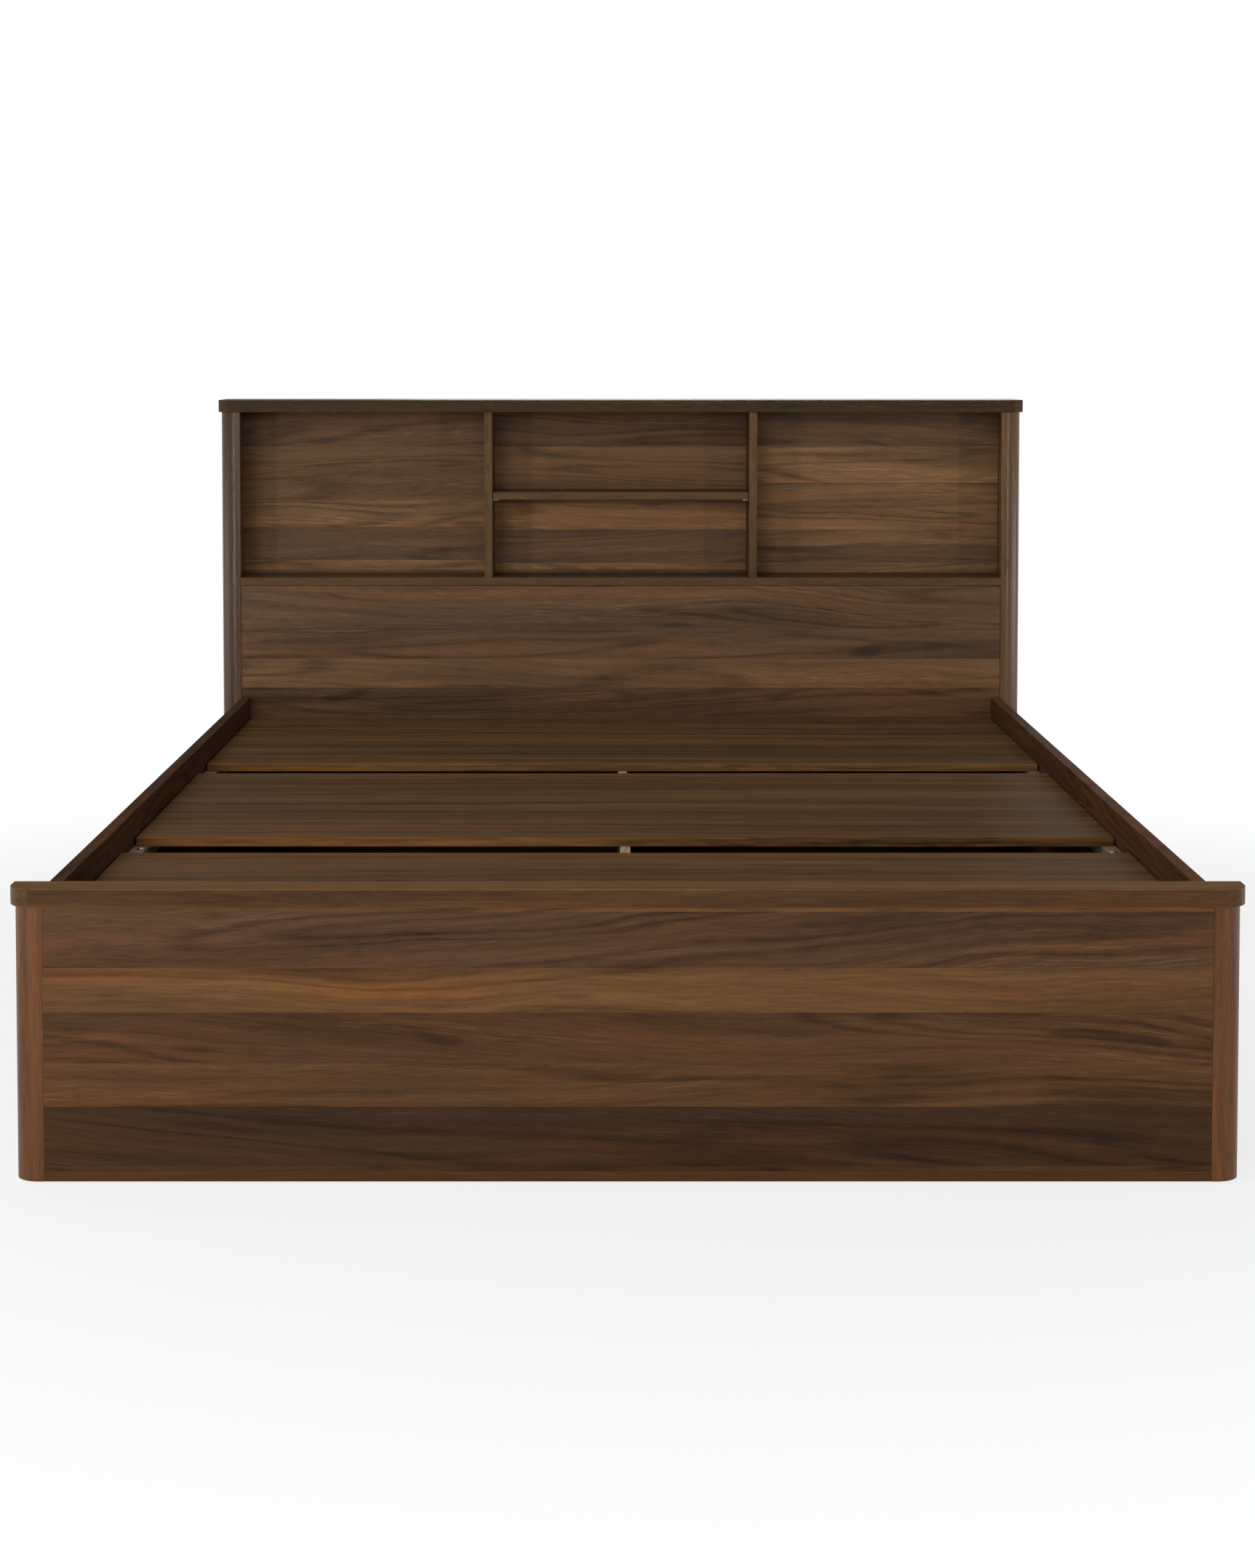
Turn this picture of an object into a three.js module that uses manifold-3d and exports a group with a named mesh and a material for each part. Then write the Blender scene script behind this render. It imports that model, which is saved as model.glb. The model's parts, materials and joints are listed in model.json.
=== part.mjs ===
// Bed with a storage headboard, built of laminated boards.
// Millimetres, +Z up. The foot end faces -Y and the head end +Y, and left and right are those of
// a person who stands at the foot end and looks at the headboard.

import * as THREE from "three";
import { mergeVertices } from "three/addons/utils/BufferGeometryUtils.js";
import Module from "manifold-3d";

// Sleeping space
const mattressWidth = 1524;
const mattressPlay = 4;
const innerLength = 2000;

// Heights above the floor
const glideHeight = 2;
const frameHeight = 400;
const platformDrop = 40;
const headboardHeight = 1015;
const mainShelfHeight = 648;

// Joint lines and fits
const seam = 0.3;
const fit = 0.3;

// Rounded posts and the caps that lie on them
const postWidth = 41;
const postCornerRadius = 33;
const railToPost = 1;
const capThickness = 25;
const capSideOverhang = 6;
const capFrontOverhang = 7;
const capCornerRadius = 37;
const capArris = 1.5;

// Footboard
const footCapDepth = 60;
const footPanelThickness = 16;
const footInnerPanelThickness = 12;
const footBottomRailHeight = 14;
const stileWidth = 60;

// Headboard
const headboardDepth = 150;
const headPostDepth = 36;
const sidePanelThickness = 18;
const backPanelThickness = 15;
const backPanelRebate = 9;
const headFrontPanelThickness = 16;
const headFrontPanelReveal = 1;
const headStileThickness = 25;
const mainShelfThickness = 16;
const dividerThickness = 16;
const centreBayWidth = 530;

// Middle shelf and the pins under it
const lowerBayShare = 0.495;
const middleShelfThickness = 15;
const middleShelfSetback = 3;
const middleShelfBackPlay = 1;
const pinRadius = 2.5;
const pinDepth = 10;
const pinCollarRadius = 4;
const pinCollarThickness = 1;
const pinPegRadius = 3;
const pinPegLength = 10;
const pinFrontSetback = 44;
const pinBackSetback = 30;

// Base
const railThickness = 18;
const ledgeWidth = 22;
const ledgeHeight = 22;
const centreBoardThickness = 16;
const baseBoardThickness = 14;
const baseBoardPlay = 4;
const baseBoardEndPlay = 2;
const footBoardLength = 430;
const middleBoardLength = 660;
const footGap = 132;
const headGap = 114;

// Steel corner angles and their bolts
const bracketLeg = 50;
const bracketThickness = 3;
const bracketBendRadius = 4;
const bracketHeight = 80;
const bracketRise = 120;
const boltOffset = 30;
const boltRadius = 4;
const boltHeadRadius = 7.5;
const boltHeadHeight = 4.4;
const boltHeadRim = 1.6;
const boltSocketWidth = 5;
const boltSocketDepth = 2.4;
const railBoltReach = 14;
const boardBoltReach = 32;

// Steel angles that hold the ends of the centre board
const centreBracketLeg = 30;
const centreBracketThickness = 2;
const centreBracketBendRadius = 2.5;
const centreBracketHeight = 100;
const centreBracketRise = 140;
const screwHoleRadius = 2.4;
const screwHoleSpacing = 60;
const screwHoleOffset = 18;

// Floor glides
const glideRadius = 12;
const smallGlideRadius = 7;
const glideChamfer = 0.5;
const centreGlideInset = 24;

// Shape making
const cutOverrun = 2;
const weldTolerance = 0.001;
const arcSteps = 16;
const arrisSteps = 3;
const bendSteps = 6;
const roundSides = 24;
const boreSides = 16;
const socketSides = 6;
const quarterTurn = Math.PI / 2;

// Places that follow from the sizes above
const innerHalfWidth = mattressWidth / 2 + mattressPlay;
const railOuter = innerHalfWidth + railThickness;
const postInner = railOuter + railToPost;
const postOuter = postInner + postWidth;
const capHalfWidth = postOuter + capSideOverhang;
const footDepth = footCapDepth - capFrontOverhang;
const footCapUnderside = frameHeight - capThickness;
const headCapUnderside = headboardHeight - capThickness;
const boardTop = frameHeight - platformDrop;
const ledgeTop = boardTop - baseBoardThickness;
const headFace = innerLength;
const headBack = innerLength + headboardDepth;
const backPanelFace = headBack - backPanelThickness;
const sidePanelInner = postInner + (postWidth - sidePanelThickness) / 2;
const mainShelfUnderside = mainShelfHeight - mainShelfThickness;
const openHeight = headCapUnderside - mainShelfHeight - middleShelfThickness;
const middleShelfUnderside = mainShelfHeight + lowerBayShare * openHeight;
const middleShelfFront = headFace + middleShelfSetback;
const middleShelfBack = backPanelFace - middleShelfBackPlay;
const middleShelfEndPlay = pinCollarThickness + 2 * fit;
const dividerInner = centreBayWidth / 2;
const dividerOuter = dividerInner + dividerThickness;
const boltHeight = bracketRise + bracketHeight / 2;
const boreRadius = boltRadius + fit;
const pinHeight = middleShelfUnderside - fit - pinPegRadius;
const overallMiddle = (headBack - footCapDepth) / 2;

const sides = [
  { suffix: "left", sign: -1 },
  { suffix: "right", sign: 1 },
];

const wasm = await Module();
wasm.setup();

// Finishes

// Each piece gets a material of its own, from one of these looks.
const looks = {
  walnut: { color: 0x5b3f2c, roughness: 0.45, metalness: 0 },
  walnutPost: { color: 0x7a583c, roughness: 0.4, metalness: 0 },
  walnutBase: { color: 0x4a3729, roughness: 0.5, metalness: 0 },
  pine: { color: 0xc8a679, roughness: 0.75, metalness: 0 },
  steel: { color: 0xa9abad, roughness: 0.35, metalness: 1 },
  plastic: { color: 0x1c1b1a, roughness: 0.6, metalness: 0 },
};

// Solids, cuts and pieces

// A closed geometry as a solid that can be cut.
function toSolid(geometry) {
  const bare = geometry.clone();
  bare.deleteAttribute("normal");
  bare.deleteAttribute("uv");
  const merged = mergeVertices(bare, weldTolerance);
  const mesh = new wasm.Mesh({
    numProp: 3,
    vertProperties: merged.attributes.position.array,
    triVerts: new Uint32Array(merged.index.array),
  });
  return new wasm.Manifold(mesh);
}

// A solid as a geometry again.
function toGeometry(solid) {
  const mesh = solid.getMesh();
  const result = new THREE.BufferGeometry();
  result.setAttribute("position", new THREE.BufferAttribute(mesh.vertProperties, mesh.numProp));
  result.setIndex(new THREE.BufferAttribute(mesh.triVerts, 1));
  result.computeVertexNormals();
  return result;
}

// The geometry with each cutter taken out of it.
function cut(geometry, cutters) {
  let solid = toSolid(geometry);
  for (const cutter of cutters) {
    solid = solid.subtract(toSolid(cutter));
  }
  return toGeometry(solid);
}

// One board joined from square-cut parts that meet face to face. Each part keeps its own faces.
function join(parts) {
  const solids = parts.map(([low, high]) => toSolid(boxBetween(low, high)));
  return toGeometry(wasm.Manifold.union(solids));
}

// A box whose faces lie exactly on its lowest and highest corner, so that two boxes can share a face.
function boxBetween(low, high) {
  const box = new THREE.BoxGeometry();
  const corners = box.attributes.position;
  const place = (value, axis) => (value < 0 ? low[axis] : high[axis]);
  for (let index = 0; index < corners.count; index += 1) {
    const at = [corners.getX(index), corners.getY(index), corners.getZ(index)];
    corners.setXYZ(index, ...at.map(place));
  }
  return box;
}

// A rod about a point, lying along one axis.
function rod(axis, radius, length, x, y, z, sideCount = boreSides) {
  const geometry = new THREE.CylinderGeometry(radius, radius, length, sideCount);
  if (axis === "x") geometry.rotateZ(quarterTurn);
  if (axis === "z") geometry.rotateX(quarterTurn);
  return geometry.translate(x, y, z);
}

// Adds a named piece, with a material of its own, to its group.
function addPiece(group, name, look, geometry, x = 0, y = 0, z = 0) {
  const mesh = new THREE.Mesh(geometry, new THREE.MeshStandardMaterial(looks[look]));
  mesh.name = name;
  mesh.position.set(x, y, z);
  group.add(mesh);
  return mesh;
}

// Adds a square-cut board between its lowest and highest corner, less its bores. A bore is a rod
// whose place counts from the board's own middle.
function addBoard(group, name, look, low, high, bores = []) {
  const size = high.map((value, axis) => value - low[axis]);
  const middle = high.map((value, axis) => (value + low[axis]) / 2);
  const box = new THREE.BoxGeometry(...size);
  return addPiece(group, name, look, bores.length ? cut(box, bores) : box, ...middle);
}

// The low and high x of a board that lies between two distances from the middle of the bed.
function span(sign, inner, outer) {
  return sign < 0 ? [-outer, -inner] : [inner, outer];
}

// An outline in plan, drawn up to a board or a post. An arris eases its upper and lower edges.
function extrudePlan(shape, height, arris = 0) {
  const geometry = new THREE.ExtrudeGeometry(shape, {
    depth: height - 2 * arris,
    bevelEnabled: arris > 0,
    bevelThickness: arris,
    bevelSize: arris,
    bevelOffset: -arris,
    bevelSegments: arrisSteps,
    curveSegments: arcSteps,
  });
  return geometry.translate(0, 0, arris);
}

// Rounded posts and caps

// The outline of a cap: its back edge lies at y = 0 and its front corners are round.
function capOutline(halfWidth, depth, radius) {
  const straight = depth - radius;
  const shape = new THREE.Shape();
  shape.moveTo(-halfWidth, 0);
  shape.lineTo(-halfWidth, -straight);
  shape.absarc(radius - halfWidth, -straight, radius, Math.PI, 3 * quarterTurn, false);
  shape.lineTo(halfWidth - radius, -depth);
  shape.absarc(halfWidth - radius, -straight, radius, -quarterTurn, 0, false);
  shape.lineTo(halfWidth, 0);
  shape.closePath();
  return shape;
}

// The outline of a post: its inner back corner lies at the origin and its outer front corner is
// round, as wide as the post allows.
function postOutline(sign, depth) {
  const radius = Math.min(postCornerRadius, postWidth, depth);
  const straight = depth - radius;
  const shape = new THREE.Shape();
  shape.moveTo(0, 0);
  shape.lineTo(sign * postWidth, 0);
  shape.lineTo(sign * postWidth, -straight);
  const start = sign > 0 ? 0 : Math.PI;
  shape.absarc(sign * (postWidth - radius), -straight, radius, start, -quarterTurn, sign > 0);
  shape.lineTo(0, -depth);
  shape.closePath();
  return shape;
}

// Adds one post, whose back lies at the given y.
function addPost(group, name, sign, depth, back, top) {
  const height = top - seam - glideHeight;
  const geometry = extrudePlan(postOutline(sign, depth), height);
  return addPiece(group, name, "walnutPost", geometry, sign * postInner, back, glideHeight);
}

// Adds one cap, whose back edge lies at the given y.
function addCap(group, name, depth, back, underside) {
  const outline = capOutline(capHalfWidth, depth, capCornerRadius);
  const geometry = extrudePlan(outline, capThickness, capArris);
  return addPiece(group, name, "walnut", geometry, 0, back, underside);
}

// Steel angles, bolts, pins and glides

// The outline of a folded steel angle. Its outer faces would meet at the origin, and its legs run
// along +x and +y.
function angleOutline(leg, thickness, bendRadius) {
  const outer = bendRadius + thickness;
  const shape = new THREE.Shape();
  shape.moveTo(leg, 0);
  shape.lineTo(leg, thickness);
  shape.lineTo(outer, thickness);
  shape.absarc(outer, outer, bendRadius, -quarterTurn, Math.PI, true);
  shape.lineTo(thickness, leg);
  shape.lineTo(0, leg);
  shape.lineTo(0, outer);
  shape.absarc(outer, outer, outer, Math.PI, -quarterTurn, false);
  shape.closePath();
  return shape;
}

// A folded steel angle with the same row of holes in both legs, given by their heights.
function angleGeometry(leg, thickness, bendRadius, height, holeRadius, holeOffset, holeHeights) {
  const through = thickness + 2 * cutOverrun;
  const middle = thickness / 2;
  const plate = new THREE.ExtrudeGeometry(angleOutline(leg, thickness, bendRadius), {
    depth: height,
    bevelEnabled: false,
    curveSegments: bendSteps,
  });
  const holes = holeHeights.flatMap((z) => [
    rod("x", holeRadius, through, middle, holeOffset, z),
    rod("y", holeRadius, through, holeOffset, middle, z),
  ]);
  return cut(plate, holes);
}

// A button-head bolt that points along +y, with the underside of its head at the origin.
function boltGeometry(reach) {
  const shoulder = boltHeadRadius - boltHeadRim;
  const profile = [
    new THREE.Vector2(0, reach),
    new THREE.Vector2(boltRadius, reach),
    new THREE.Vector2(boltRadius, 0),
    new THREE.Vector2(boltHeadRadius, 0),
    new THREE.Vector2(boltHeadRadius, -boltHeadRim),
    new THREE.Vector2(shoulder, -boltHeadHeight),
    new THREE.Vector2(0, -boltHeadHeight),
  ].reverse();
  const body = new THREE.LatheGeometry(profile, roundSides);
  const socketLength = boltSocketDepth + cutOverrun;
  const socketMiddle = boltSocketDepth - boltHeadHeight - socketLength / 2;
  const socketRadius = boltSocketWidth / Math.sqrt(3);
  return cut(body, [rod("y", socketRadius, socketLength, 0, socketMiddle, 0, socketSides)]);
}

// A shelf pin that points along +x, with the face of its collar that meets the board at x = 0.
function pinGeometry() {
  const collarEnd = pinCollarThickness;
  const pegEnd = pinCollarThickness + pinPegLength;
  const profile = [
    new THREE.Vector2(0, -pinDepth),
    new THREE.Vector2(pinRadius, -pinDepth),
    new THREE.Vector2(pinRadius, 0),
    new THREE.Vector2(pinCollarRadius, 0),
    new THREE.Vector2(pinCollarRadius, collarEnd),
    new THREE.Vector2(pinPegRadius, collarEnd),
    new THREE.Vector2(pinPegRadius, pegEnd),
    new THREE.Vector2(0, pegEnd),
  ];
  return new THREE.LatheGeometry(profile, roundSides).rotateZ(-quarterTurn);
}

// Adds a floor glide: a disc with an eased lower edge.
function addGlide(group, name, radius, x, y) {
  const top = glideHeight - seam;
  const profile = [
    new THREE.Vector2(0, 0),
    new THREE.Vector2(radius - glideChamfer, 0),
    new THREE.Vector2(radius, glideChamfer),
    new THREE.Vector2(radius, top),
    new THREE.Vector2(0, top),
  ];
  const geometry = new THREE.LatheGeometry(profile, roundSides).rotateX(quarterTurn);
  return addPiece(group, name, "plastic", geometry, x, y, 0);
}

// Footboard

// The footboard is a hollow board between two posts, under a cap.
function buildFootboard() {
  const group = new THREE.Group();
  const front = -footDepth;
  const panelBack = front + footPanelThickness;
  const innerFace = -footInnerPanelThickness;
  const panelEdge = postInner - seam;
  const bottom = glideHeight + footBottomRailHeight + seam;
  const top = footCapUnderside - seam;

  addCap(group, "footboard_cap", footCapDepth, 0, footCapUnderside);
  addBoard(group, "footboard_panel", "walnut", [-panelEdge, front, bottom], [panelEdge, panelBack, top]);
  addBoard(
    group,
    "footboard_bottom_rail",
    "walnut",
    [-panelEdge, front, glideHeight],
    [panelEdge, 0, glideHeight + footBottomRailHeight],
  );

  const boltX = innerHalfWidth - boltOffset;
  const boltZ = boltHeight - (top + bottom) / 2;
  const innerBores = sides.map(({ sign }) => {
    const length = footInnerPanelThickness + 2 * cutOverrun;
    return rod("y", boreRadius, length, sign * boltX, 0, boltZ);
  });
  const innerLow = [-panelEdge, innerFace, bottom];
  addBoard(group, "footboard_inner_panel", "walnut", innerLow, [panelEdge, 0, top], innerBores);

  const stileFront = panelBack + seam;
  const stileBack = innerFace - seam;
  const halfStile = stileWidth / 2;
  addBoard(
    group,
    "footboard_stile_centre",
    "pine",
    [-halfStile, stileFront, bottom],
    [halfStile, stileBack, top],
  );

  for (const { suffix, sign } of sides) {
    addPost(group, "footboard_post_" + suffix, sign, footDepth, 0, footCapUnderside);
    addGlide(group, "glide_foot_" + suffix, glideRadius, sign * (postInner + postWidth / 2), front / 2);
    const [low, high] = span(sign, panelEdge - stileWidth, panelEdge);
    const boreLength = boardBoltReach - footInnerPanelThickness + fit + cutOverrun;
    const boreY = stileBack + cutOverrun - boreLength / 2 - (stileFront + stileBack) / 2;
    const bore = rod("y", boreRadius, boreLength, sign * boltX - (low + high) / 2, boreY, boltZ);
    const name = "footboard_stile_" + suffix;
    addBoard(group, name, "pine", [low, stileFront, bottom], [high, stileBack, top], [bore]);
  }
  return group;
}

// Headboard

// The outline of a side panel, from its inner front corner, with the rebate of the back panel.
function sidePanelOutline(sign, depth) {
  const shape = new THREE.Shape();
  shape.moveTo(0, 0);
  shape.lineTo(sign * sidePanelThickness, 0);
  shape.lineTo(sign * sidePanelThickness, depth);
  shape.lineTo(sign * backPanelRebate, depth);
  shape.lineTo(sign * backPanelRebate, depth - backPanelThickness - seam);
  shape.lineTo(0, depth - backPanelThickness - seam);
  shape.closePath();
  return shape;
}

// The main shelf: the floors of the three bays, the strips under the dividers, and a tongue at each
// end that reaches the side panel behind the post.
function mainShelfGeometry() {
  const back = backPanelFace - seam;
  const notch = headFace + headPostDepth + seam;
  const part = ([near, far], front) => [
    [near, front, mainShelfUnderside],
    [far, back, mainShelfHeight],
  ];
  const parts = sides.flatMap(({ sign }) => [
    part(span(sign, dividerInner, dividerOuter), headFace),
    part(span(sign, dividerOuter, postInner - seam), headFace),
    part(span(sign, postInner - seam, sidePanelInner - seam), notch),
  ]);
  return join([part([-dividerInner, dividerInner], headFace), ...parts]);
}

// The closed lower part: its front panel, the stiles that take the bolts, and two uprights.
function addHeadboardBase(group) {
  const panelEdge = postInner - headFrontPanelReveal;
  const panelBack = headFace + headFrontPanelThickness;
  const panelTop = mainShelfUnderside - headFrontPanelReveal;
  const boltX = innerHalfWidth - boltOffset;
  const bores = sides.map(({ sign }) => {
    const length = headFrontPanelThickness + 2 * cutOverrun;
    return rod("y", boreRadius, length, sign * boltX, 0, boltHeight - (panelTop + glideHeight) / 2);
  });
  const panelLow = [-panelEdge, headFace, glideHeight];
  addBoard(group, "headboard_front_panel", "walnut", panelLow, [panelEdge, panelBack, panelTop], bores);

  const front = panelBack + seam;
  const top = mainShelfUnderside - seam;
  const boltZ = boltHeight - (top + glideHeight) / 2;
  for (const { suffix, sign } of sides) {
    const [stileLow, stileHigh] = span(sign, panelEdge - stileWidth, panelEdge);
    const stileBack = front + headStileThickness;
    const boreLength = boardBoltReach - headFrontPanelThickness + fit + cutOverrun;
    const boreY = front - cutOverrun + boreLength / 2 - (front + stileBack) / 2;
    const boreX = sign * boltX - (stileLow + stileHigh) / 2;
    const bore = rod("y", boreRadius, boreLength, boreX, boreY, boltZ);
    const stileName = "headboard_stile_" + suffix;
    const stileFrom = [stileLow, front, glideHeight];
    addBoard(group, stileName, "pine", stileFrom, [stileHigh, stileBack, top], [bore]);

    const [low, high] = span(sign, dividerInner, dividerOuter);
    const back = backPanelFace - seam;
    const uprightName = "headboard_upright_" + suffix;
    addBoard(group, uprightName, "walnut", [low, front, glideHeight], [high, back, top]);
  }
}

// The middle shelf lies loose on four pins between the dividers.
function addMiddleShelf(group) {
  const edge = dividerInner - middleShelfEndPlay;
  addBoard(
    group,
    "middle_shelf",
    "walnut",
    [-edge, middleShelfFront, middleShelfUnderside],
    [edge, middleShelfBack, middleShelfUnderside + middleShelfThickness],
  );
}

// A divider with the bores of its shelf pins, and the pins in them.
function addDivider(group, suffix, sign) {
  const low = mainShelfHeight + seam;
  const top = headCapUnderside - seam;
  const back = backPanelFace - seam;
  const middle = [sign * (dividerInner + dividerThickness / 2), (headFace + back) / 2, (low + top) / 2];
  const pinRows = [
    { row: "front", y: middleShelfFront + pinFrontSetback },
    { row: "back", y: middleShelfBack - pinBackSetback },
  ];
  const boreLength = pinDepth + fit + cutOverrun;
  const boreX = sign * (dividerInner - cutOverrun + boreLength / 2) - middle[0];
  const bores = pinRows.map(({ y }) => {
    return rod("x", pinRadius + fit, boreLength, boreX, y - middle[1], pinHeight - middle[2]);
  });
  const [near, far] = span(sign, dividerInner, dividerOuter);
  addBoard(group, "headboard_divider_" + suffix, "walnut", [near, headFace, low], [far, back, top], bores);

  for (const { row, y } of pinRows) {
    const x = sign * (dividerInner - fit);
    const pin = addPiece(group, "shelf_pin_" + suffix + "_" + row, "steel", pinGeometry(), x, y, pinHeight);
    pin.rotation.z = sign > 0 ? Math.PI : 0;
  }
}

// The headboard is an open case of three bays on a closed base.
function buildHeadboard() {
  const group = new THREE.Group();
  const top = headCapUnderside - seam;
  const capDepth = headboardDepth + capFrontOverhang;
  addCap(group, "headboard_cap", capDepth, headBack, headCapUnderside);
  addHeadboardBase(group);

  addPiece(group, "headboard_main_shelf", "walnut", mainShelfGeometry());
  const backEdge = sidePanelInner + backPanelRebate - seam;
  addBoard(
    group,
    "headboard_back_panel",
    "walnut",
    [-backEdge, backPanelFace, glideHeight],
    [backEdge, headBack, top],
  );

  const postBack = headFace + headPostDepth;
  const sideFront = postBack + seam;
  for (const { suffix, sign } of sides) {
    const postName = "headboard_post_" + suffix;
    addPost(group, postName, sign, headPostDepth, postBack, headCapUnderside);
    const panel = extrudePlan(sidePanelOutline(sign, headBack - sideFront), top - glideHeight);
    const name = "headboard_side_" + suffix;
    addPiece(group, name, "walnut", panel, sign * sidePanelInner, sideFront, glideHeight);
    addDivider(group, suffix, sign);
    const postMiddle = sign * (postInner + postWidth / 2);
    const backGlide = headBack - backPanelThickness - smallGlideRadius;
    addGlide(group, "glide_head_front_" + suffix, glideRadius, postMiddle, headFace + headPostDepth / 2);
    addGlide(group, "glide_head_back_" + suffix, smallGlideRadius, postMiddle, backGlide);
  }
  addMiddleShelf(group);
  return group;
}

// Base

// A side rail with the bores of its two bolts, and the ledge along its inner face.
function addRail(group, suffix, sign) {
  const [low, high] = span(sign, innerHalfWidth, railOuter);
  const from = [low, seam, glideHeight];
  const to = [high, innerLength - seam, frameHeight];
  const middle = from.map((value, axis) => (value + to[axis]) / 2);
  const boreLength = railBoltReach + fit + cutOverrun;
  const boreX = sign * (innerHalfWidth - cutOverrun + boreLength / 2) - middle[0];
  const bores = [boltOffset, innerLength - boltOffset].map((y) => {
    return rod("x", boreRadius, boreLength, boreX, y - middle[1], boltHeight - middle[2]);
  });
  addBoard(group, "side_rail_" + suffix, "walnut", from, to, bores);

  const ledgeOuter = innerHalfWidth - seam;
  const [ledgeLow, ledgeHigh] = span(sign, ledgeOuter - ledgeWidth, ledgeOuter);
  addBoard(
    group,
    "ledge_" + suffix,
    "pine",
    [ledgeLow, seam, ledgeTop - ledgeHeight],
    [ledgeHigh, innerLength - seam, ledgeTop],
  );
}

// The board on edge under the middle of the platform, with an angle and a glide at each end.
function addCentreBoard(group) {
  const half = centreBoardThickness / 2;
  const from = [-half, seam, glideHeight];
  addBoard(group, "centre_board", "pine", from, [half, innerLength - seam, ledgeTop]);

  const ends = [
    { end: "foot", wall: 0, inward: 1, turn: 0 },
    { end: "head", wall: innerLength, inward: -1, turn: -quarterTurn },
  ];
  const holeHeights = [-1, 1].map((way) => (centreBracketHeight + way * screwHoleSpacing) / 2);
  for (const { end, wall, inward, turn } of ends) {
    const angle = angleGeometry(
      centreBracketLeg,
      centreBracketThickness,
      centreBracketBendRadius,
      centreBracketHeight,
      screwHoleRadius,
      screwHoleOffset,
      holeHeights,
    );
    const name = "centre_bracket_" + end;
    const bracketY = wall + inward * fit;
    addPiece(group, name, "steel", angle, half + fit, bracketY, centreBracketRise).rotation.z = turn;
    addGlide(group, "glide_centre_" + end, smallGlideRadius, 0, wall + inward * centreGlideInset);
  }
}

// The three loose boards that carry the mattress, with a gap between each two.
function addBaseBoards(group) {
  const edge = innerHalfWidth - baseBoardPlay;
  const middleStart = baseBoardEndPlay + footBoardLength + footGap;
  const headStart = middleStart + middleBoardLength + headGap;
  const boards = [
    { name: "base_board_foot", start: baseBoardEndPlay, end: baseBoardEndPlay + footBoardLength },
    { name: "base_board_middle", start: middleStart, end: middleStart + middleBoardLength },
    { name: "base_board_head", start: headStart, end: innerLength - baseBoardEndPlay },
  ];
  for (const { name, start, end } of boards) {
    addBoard(group, name, "walnutBase", [-edge, start, ledgeTop], [edge, end, boardTop]);
  }
}

// The four corners, each with a steel angle, a bolt into the rail and a bolt into the end board.
function addCorners(group) {
  // The walls of a corner are the one behind its angle's leg along y, then the one along x, as they
  // lie before the corner is turned.
  const railFirst = ["rail", "board"];
  const boardFirst = ["board", "rail"];
  const corners = [
    { name: "foot_left", x: -innerHalfWidth, y: 0, turn: 0, walls: railFirst },
    { name: "foot_right", x: innerHalfWidth, y: 0, turn: quarterTurn, walls: boardFirst },
    { name: "head_right", x: innerHalfWidth, y: innerLength, turn: Math.PI, walls: railFirst },
    { name: "head_left", x: -innerHalfWidth, y: innerLength, turn: -quarterTurn, walls: boardFirst },
  ];
  const reaches = { rail: railBoltReach, board: boardBoltReach };
  const headSeat = bracketThickness + 2 * fit;
  const middle = bracketHeight / 2;
  for (const { name, x, y, turn, walls } of corners) {
    const corner = new THREE.Group();
    corner.position.set(x, y, bracketRise);
    corner.rotation.z = turn;
    group.add(corner);
    const angle = angleGeometry(
      bracketLeg,
      bracketThickness,
      bracketBendRadius,
      bracketHeight,
      boreRadius,
      boltOffset - fit,
      [middle],
    );
    addPiece(corner, "corner_bracket_" + name, "steel", angle, fit, fit, 0);
    walls.forEach((wall, index) => {
      const place = index === 0 ? [headSeat, boltOffset, middle] : [boltOffset, headSeat, middle];
      const bolt = boltGeometry(headSeat + reaches[wall]);
      const piece = addPiece(corner, wall + "_bolt_" + name, "steel", bolt, ...place);
      piece.rotation.z = index === 0 ? quarterTurn : Math.PI;
    });
  }
}

// The base is two side rails with ledges, a centre board and three loose boards.
function buildBase() {
  const group = new THREE.Group();
  for (const { suffix, sign } of sides) {
    addRail(group, suffix, sign);
  }
  addCentreBoard(group);
  addBaseBoards(group);
  addCorners(group);
  return group;
}

// The whole bed stands on the floor, with the middle of its outline over the origin.
const bed = new THREE.Group();
bed.name = "bed";
const assembly = new THREE.Group();
assembly.position.y = -overallMiddle;
assembly.add(buildFootboard(), buildHeadboard(), buildBase());
bed.add(assembly);

export default bed;
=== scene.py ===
"""Looks of a bed with a storage headboard, in dark walnut-print laminated board.

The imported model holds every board, post and fitting at its real size. This script dresses each of
them in its finish, adds the small screws that hold them, and sets the floor, lamps and camera.
"""

import json
import logging
import math
from dataclasses import dataclass, field, replace
from enum import Enum

import bmesh
import bpy
from mathutils import Matrix, Vector

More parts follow.
